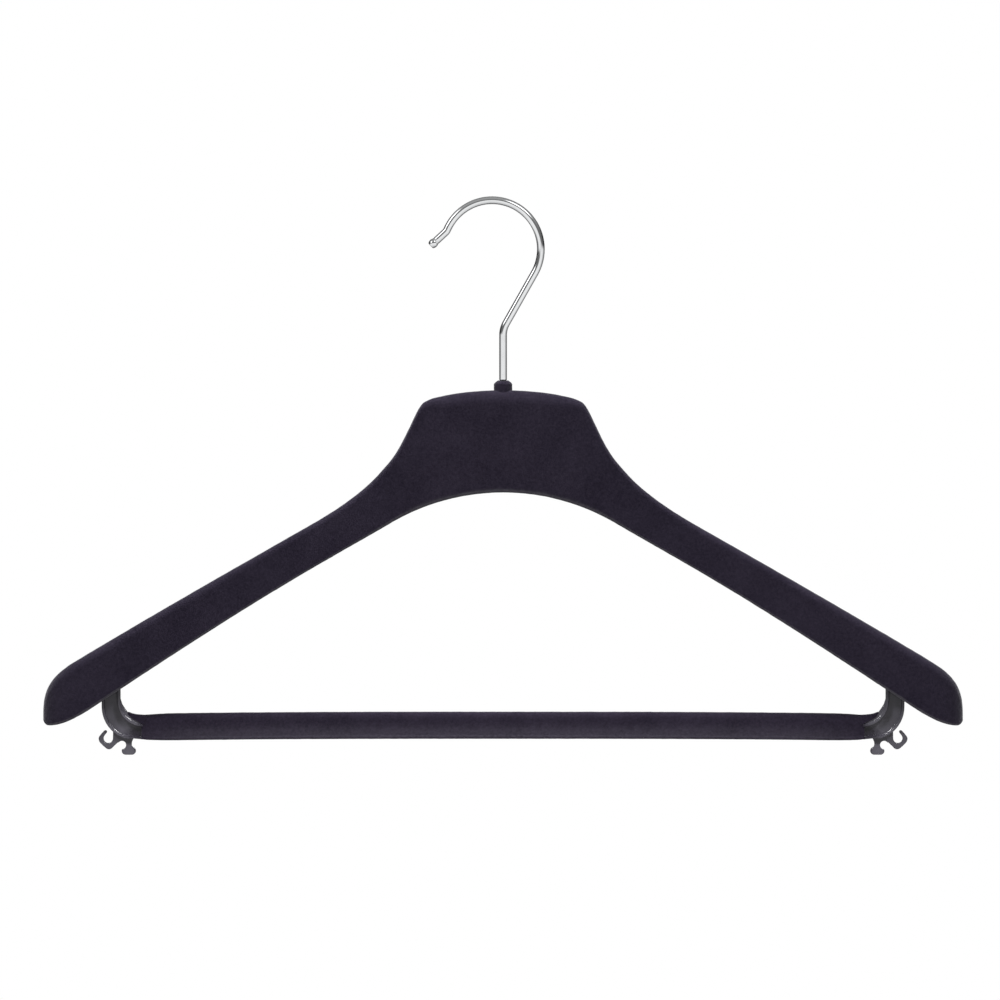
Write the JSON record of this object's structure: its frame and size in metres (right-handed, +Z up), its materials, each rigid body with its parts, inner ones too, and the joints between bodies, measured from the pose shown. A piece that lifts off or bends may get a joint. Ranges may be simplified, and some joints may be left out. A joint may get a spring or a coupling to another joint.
{
  "type": "clothes hanger",
  "caption": "Wide-shoulder suit hanger with a flocked body, a swivelling plated wire hook and a flocked trouser bar with skirt hooks at both ends.",
  "frame": {"origin": "on the swivel axis, level with the underside of the hook's crown, where the hanger rests on a rail", "axes": "+X along the width, towards the side the hook's straight part leans to; +Y to the back, away from the viewer; +Z up along the swivel axis"},
  "size_m": [0.45, 0.025, 0.2733],
  "materials": {
    "plated_wire": "bright nickel-chrome plating on drawn steel wire",
    "steel": "zinc-plated, stamped",
    "spring_steel": "dark spring steel",
    "moulded_plastic": "matt injection-moulded polystyrene",
    "velvet_flock": "short-pile velvet flock",
    "bar_plastic": "satin injection-moulded plastic",
    "bar_velvet": "short-pile velvet flock"
  },
  "bodies": {
    "hook": {"hook": "plated_wire", "hook_washer": "steel", "hook_lock_ring": "spring_steel"},
    "hanger": {"hanger_body": "moulded_plastic", "body_flock": "velvet_flock", "trouser_bar": "bar_plastic", "bar_flock": "bar_velvet"}
  },
  "joints": [
    {"name": "hook_swivel", "type": "hinge", "parent": "hook", "child": "hanger", "pos_m": [0, 0, -0.1], "axis": [0, 0, 1], "continuous": true}
  ]
}
